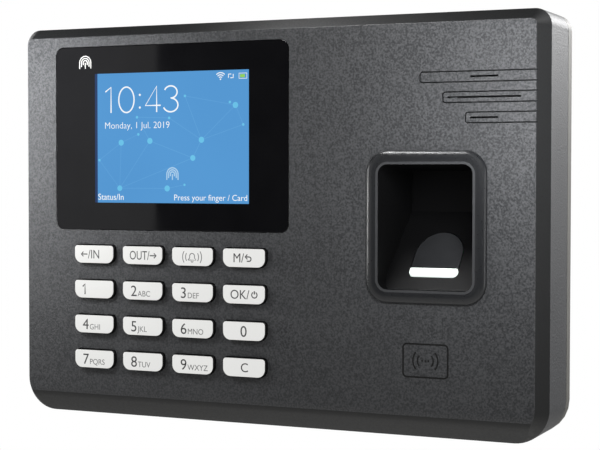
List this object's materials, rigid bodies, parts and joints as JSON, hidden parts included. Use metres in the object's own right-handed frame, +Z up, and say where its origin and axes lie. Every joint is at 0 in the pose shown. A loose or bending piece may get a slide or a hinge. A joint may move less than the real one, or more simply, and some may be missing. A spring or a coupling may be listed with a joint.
{
  "type": "fingerprint scanner terminal",
  "caption": "Wall-mounted fingerprint terminal: flush display and keypad on the left, hooded finger well with a lit platen on the right, hung on a steel wall bracket.",
  "frame": {"origin": "on the wall bracket's back face, behind the centre of the case", "axes": "+X right as a user faces the display, +Y back into the wall, +Z up"},
  "size_m": [0.186, 0.0306, 0.131],
  "materials": {
    "case_grey": "grey moulded ABS, fine grain",
    "back_grey": "lighter grey moulded ABS",
    "window_black": "back-printed acrylic window, polished",
    "screen": "lit colour display",
    "key_white": "white moulded ABS with grey print",
    "well_black": "black moulded ABS, fine grain",
    "platen_glass": "polished optical glass",
    "light_white": "translucent white light guide",
    "silicone_grey": "silicone rubber",
    "board_green": "solder-masked glass-epoxy board",
    "zinc_steel": "zinc-plated steel",
    "cell_steel": "nickel-plated steel",
    "part_black": "black moulded plastic",
    "terminal_green": "green moulded nylon",
    "relay_blue": "blue moulded plastic",
    "foil_silver": "tinned sheet and foil",
    "ribbon_amber": "polyimide flat cable",
    "label_white": "blank printed label",
    "lead_black": "PVC-covered wire"
  },
  "bodies": {
    "bracket": {"wall_bracket": "zinc_steel"},
    "terminal": {"back_case": "back_grey", "front_case": "case_grey", "rating_label": "label_white", "lcd_window": "window_black", "lcd_panel": "screen", "lcd_backlight": "foil_silver", "lcd_ribbon": "ribbon_amber", "keypad_mat": "silicone_grey", "keypad_board": "board_green", "finger_well": "well_black", "sensor_platen": "platen_glass", "sensor_light_bar": "light_white", "sensor_array": "part_black", "sensor_board": "board_green", "sensor_ribbon": "ribbon_amber", "speaker": "part_black", "speaker_gasket": "silicone_grey", "speaker_lead": "lead_black", "card_reader_board": "board_green", "main_board": "board_green", "processor_shield": "foil_silver", "wireless_module": "foil_silver", "relay": "relay_blue", "battery_pack": "foil_silver", "battery_lead": "lead_black", "coin_cell_holder": "part_black", "coin_cell": "cell_steel", "network_socket": "cell_steel", "usb_socket": "cell_steel", "power_terminals": "terminal_green", "tamper_switch": "part_black", "case_screw_1": "zinc_steel", "case_screw_2": "zinc_steel", "case_screw_3": "zinc_steel", "case_screw_4": "zinc_steel", "board_screw_1": "zinc_steel", "board_screw_2": "zinc_steel", "board_screw_3": "zinc_steel", "board_screw_4": "zinc_steel"},
    "button_in": {"key_in": "key_white"},
    "button_out": {"key_out": "key_white"},
    "button_bell": {"key_bell": "key_white"},
    "button_menu": {"key_menu": "key_white"},
    "button_1": {"key_1": "key_white"},
    "button_2": {"key_2": "key_white"},
    "button_3": {"key_3": "key_white"},
    "button_ok": {"key_ok": "key_white"},
    "button_4": {"key_4": "key_white"},
    "button_5": {"key_5": "key_white"},
    "button_6": {"key_6": "key_white"},
    "button_0": {"key_0": "key_white"},
    "button_7": {"key_7": "key_white"},
    "button_8": {"key_8": "key_white"},
    "button_9": {"key_9": "key_white"},
    "button_clear": {"key_clear": "key_white"},
    "tamper": {"tamper_plunger": "key_white"},
    "lock": {"lock_screw": "zinc_steel"}
  },
  "joints": [
    {"name": "terminal_lift", "type": "slide", "parent": "bracket", "child": "terminal", "axis": [0, 0, 1], "range_m": [0, 0.007]},
    {"name": "key_in_press", "type": "slide", "parent": "terminal", "child": "button_in", "axis": [0, 1, 0], "range_m": [0, 0.001], "stiffness_N_per_m": 1200, "springref_m": -0.0004},
    {"name": "key_out_press", "type": "slide", "parent": "terminal", "child": "button_out", "axis": [0, 1, 0], "range_m": [0, 0.001], "stiffness_N_per_m": 1200, "springref_m": -0.0004},
    {"name": "key_bell_press", "type": "slide", "parent": "terminal", "child": "button_bell", "axis": [0, 1, 0], "range_m": [0, 0.001], "stiffness_N_per_m": 1200, "springref_m": -0.0004},
    {"name": "key_menu_press", "type": "slide", "parent": "terminal", "child": "button_menu", "axis": [0, 1, 0], "range_m": [0, 0.001], "stiffness_N_per_m": 1200, "springref_m": -0.0004},
    {"name": "key_1_press", "type": "slide", "parent": "terminal", "child": "button_1", "axis": [0, 1, 0], "range_m": [0, 0.001], "stiffness_N_per_m": 1200, "springref_m": -0.0004},
    {"name": "key_2_press", "type": "slide", "parent": "terminal", "child": "button_2", "axis": [0, 1, 0], "range_m": [0, 0.001], "stiffness_N_per_m": 1200, "springref_m": -0.0004},
    {"name": "key_3_press", "type": "slide", "parent": "terminal", "child": "button_3", "axis": [0, 1, 0], "range_m": [0, 0.001], "stiffness_N_per_m": 1200, "springref_m": -0.0004},
    {"name": "key_ok_press", "type": "slide", "parent": "terminal", "child": "button_ok", "axis": [0, 1, 0], "range_m": [0, 0.001], "stiffness_N_per_m": 1200, "springref_m": -0.0004},
    {"name": "key_4_press", "type": "slide", "parent": "terminal", "child": "button_4", "axis": [0, 1, 0], "range_m": [0, 0.001], "stiffness_N_per_m": 1200, "springref_m": -0.0004},
    {"name": "key_5_press", "type": "slide", "parent": "terminal", "child": "button_5", "axis": [0, 1, 0], "range_m": [0, 0.001], "stiffness_N_per_m": 1200, "springref_m": -0.0004},
    {"name": "key_6_press", "type": "slide", "parent": "terminal", "child": "button_6", "axis": [0, 1, 0], "range_m": [0, 0.001], "stiffness_N_per_m": 1200, "springref_m": -0.0004},
    {"name": "key_0_press", "type": "slide", "parent": "terminal", "child": "button_0", "axis": [0, 1, 0], "range_m": [0, 0.001], "stiffness_N_per_m": 1200, "springref_m": -0.0004},
    {"name": "key_7_press", "type": "slide", "parent": "terminal", "child": "button_7", "axis": [0, 1, 0], "range_m": [0, 0.001], "stiffness_N_per_m": 1200, "springref_m": -0.0004},
    {"name": "key_8_press", "type": "slide", "parent": "terminal", "child": "button_8", "axis": [0, 1, 0], "range_m": [0, 0.001], "stiffness_N_per_m": 1200, "springref_m": -0.0004},
    {"name": "key_9_press", "type": "slide", "parent": "terminal", "child": "button_9", "axis": [0, 1, 0], "range_m": [0, 0.001], "stiffness_N_per_m": 1200, "springref_m": -0.0004},
    {"name": "key_clear_press", "type": "slide", "parent": "terminal", "child": "button_clear", "axis": [0, 1, 0], "range_m": [0, 0.001], "stiffness_N_per_m": 1200, "springref_m": -0.0004},
    {"name": "tamper_press", "type": "slide", "parent": "terminal", "child": "tamper", "axis": [0, -1, 0], "range_m": [0, 0.0008], "stiffness_N_per_m": 400, "springref_m": -0.001},
    {"name": "lock_screw_undo", "type": "slide", "parent": "terminal", "child": "lock", "axis": [0, 0, -1], "range_m": [0, 0.0045]}
  ]
}
